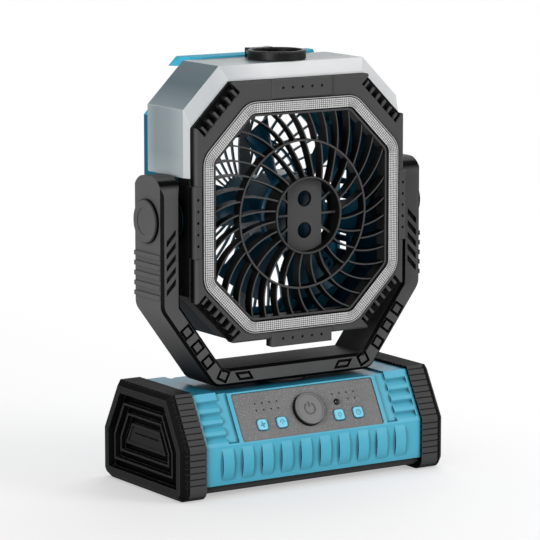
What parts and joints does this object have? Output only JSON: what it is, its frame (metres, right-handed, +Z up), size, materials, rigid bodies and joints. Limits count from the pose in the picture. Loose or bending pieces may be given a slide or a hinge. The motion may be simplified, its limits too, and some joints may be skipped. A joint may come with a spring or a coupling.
{
  "type": "desk fan",
  "caption": "Rechargeable desk fan: tilting cut-corner head with light ring, lamp band and hanging loop, on a turning yoke over a battery base with a push-button panel.",
  "frame": {"origin": "on the table, under the centre of the base", "axes": "+Z up, -Y towards the viewer's side with the control panel and grille, +X to the right seen from there"},
  "size_m": [0.2322, 0.115, 0.3167],
  "materials": {
    "housing_blue": "satin moulded, light blue",
    "dark_plastic": "fine grained, dark grey",
    "panel_plastic": "fine sparkle grain, grey",
    "main_button_plastic": "fine grain, grey",
    "cap_rubber": "soft matt, dark grey",
    "button_cyan": "smooth, pale blue",
    "lens_plastic": "prismatic, milky",
    "diffuser_plastic": "milky, satin",
    "blade_teal": "smooth, dark teal",
    "indicator_clear": "clear light pipes",
    "remote_dark": "dark filter dome",
    "circuit_board": "green board",
    "gear_plastic": "natural moulded",
    "steel": "plain",
    "cell_wrap": "wrapped cell",
    "motor_can": "plain can"
  },
  "bodies": {
    "base": {"base_shell": "housing_blue", "base_bottom_plate": "dark_plastic", "base_screws": "steel", "end_cap_right": "cap_rubber", "end_cap_left": "cap_rubber", "control_panel": "panel_plastic", "control_board": "circuit_board", "indicator_lights": "indicator_clear", "remote_window": "remote_dark", "battery_tray": "dark_plastic", "battery_cells": "cell_wrap", "charge_board": "circuit_board", "charge_socket": "steel", "oscillation_motor": "motor_can", "swivel_bush": "gear_plastic"},
    "yoke": {"yoke_frame": "dark_plastic", "swivel_post": "dark_plastic", "swivel_gear": "gear_plastic", "swivel_retainer": "gear_plastic", "pivot_cover_right": "dark_plastic", "pivot_cover_left": "dark_plastic", "tilt_washer_right": "dark_plastic", "tilt_washer_left": "dark_plastic"},
    "head": {"front_bezel": "dark_plastic", "light_ring_lens": "lens_plastic", "light_ring_board": "circuit_board", "front_grille": "dark_plastic", "rear_housing": "housing_blue", "rear_grille": "housing_blue", "head_screws": "steel", "lamp_diffuser": "diffuser_plastic", "lamp_strip": "circuit_board", "fan_motor": "motor_can", "tilt_axle_right": "dark_plastic", "tilt_axle_left": "dark_plastic", "hook_base": "dark_plastic", "hook_pin": "steel"},
    "rotor": {"fan_impeller": "blade_teal", "motor_shaft": "steel"},
    "loop": {"hanging_hook": "dark_plastic"},
    "pinion": {"drive_pinion": "gear_plastic"},
    "fan_button_key": {"fan_button": "button_cyan"},
    "swing_button_key": {"swing_button": "button_cyan"},
    "light_button_key": {"light_button": "button_cyan"},
    "timer_button_key": {"timer_button": "button_cyan"},
    "main_button_key": {"main_button": "main_button_plastic"}
  },
  "joints": [
    {"name": "yoke_swivel", "type": "hinge", "parent": "base", "child": "yoke", "pos_m": [0, -0.0075, 0.0754], "axis": [0, 0, 1], "range_deg": [-45, 45]},
    {"name": "head_tilt", "type": "hinge", "parent": "yoke", "child": "head", "pos_m": [0, -0.0075, 0.1992], "axis": [-1, 0, 0], "range_deg": [-45, 90]},
    {"name": "fan_spin", "type": "hinge", "parent": "head", "child": "rotor", "pos_m": [0, 0, 0.1992], "axis": [0, -1, 0], "continuous": true},
    {"name": "loop_fold", "type": "hinge", "parent": "head", "child": "loop", "pos_m": [0, 0.0211, 0.3136], "axis": [-1, 0, 0], "range_deg": [0, 110]},
    {"name": "pinion_spin", "type": "hinge", "parent": "base", "child": "pinion", "pos_m": [0.02344, -0.0075, 0.055], "axis": [0, 0, 1], "range_deg": [-142, 142]},
    {"name": "fan_button_press", "type": "slide", "parent": "base", "child": "fan_button_key", "axis": [0, 0.8722, -0.4891], "range_m": [0, 0.0008], "stiffness_N_per_m": 1200, "springref_m": -0.0004},
    {"name": "swing_button_press", "type": "slide", "parent": "base", "child": "swing_button_key", "axis": [0, 0.8722, -0.4891], "range_m": [0, 0.0008], "stiffness_N_per_m": 1200, "springref_m": -0.0004},
    {"name": "light_button_press", "type": "slide", "parent": "base", "child": "light_button_key", "axis": [0, 0.8722, -0.4891], "range_m": [0, 0.0008], "stiffness_N_per_m": 1200, "springref_m": -0.0004},
    {"name": "timer_button_press", "type": "slide", "parent": "base", "child": "timer_button_key", "axis": [0, 0.8722, -0.4891], "range_m": [0, 0.0008], "stiffness_N_per_m": 1200, "springref_m": -0.0004},
    {"name": "main_button_press", "type": "slide", "parent": "base", "child": "main_button_key", "axis": [0, 0.8722, -0.4891], "range_m": [0, 0.0008], "stiffness_N_per_m": 1200, "springref_m": -0.0004}
  ],
  "couplings": [
    {"joint": "pinion_spin", "follows": "yoke_swivel", "ratio": -3.1429}
  ]
}
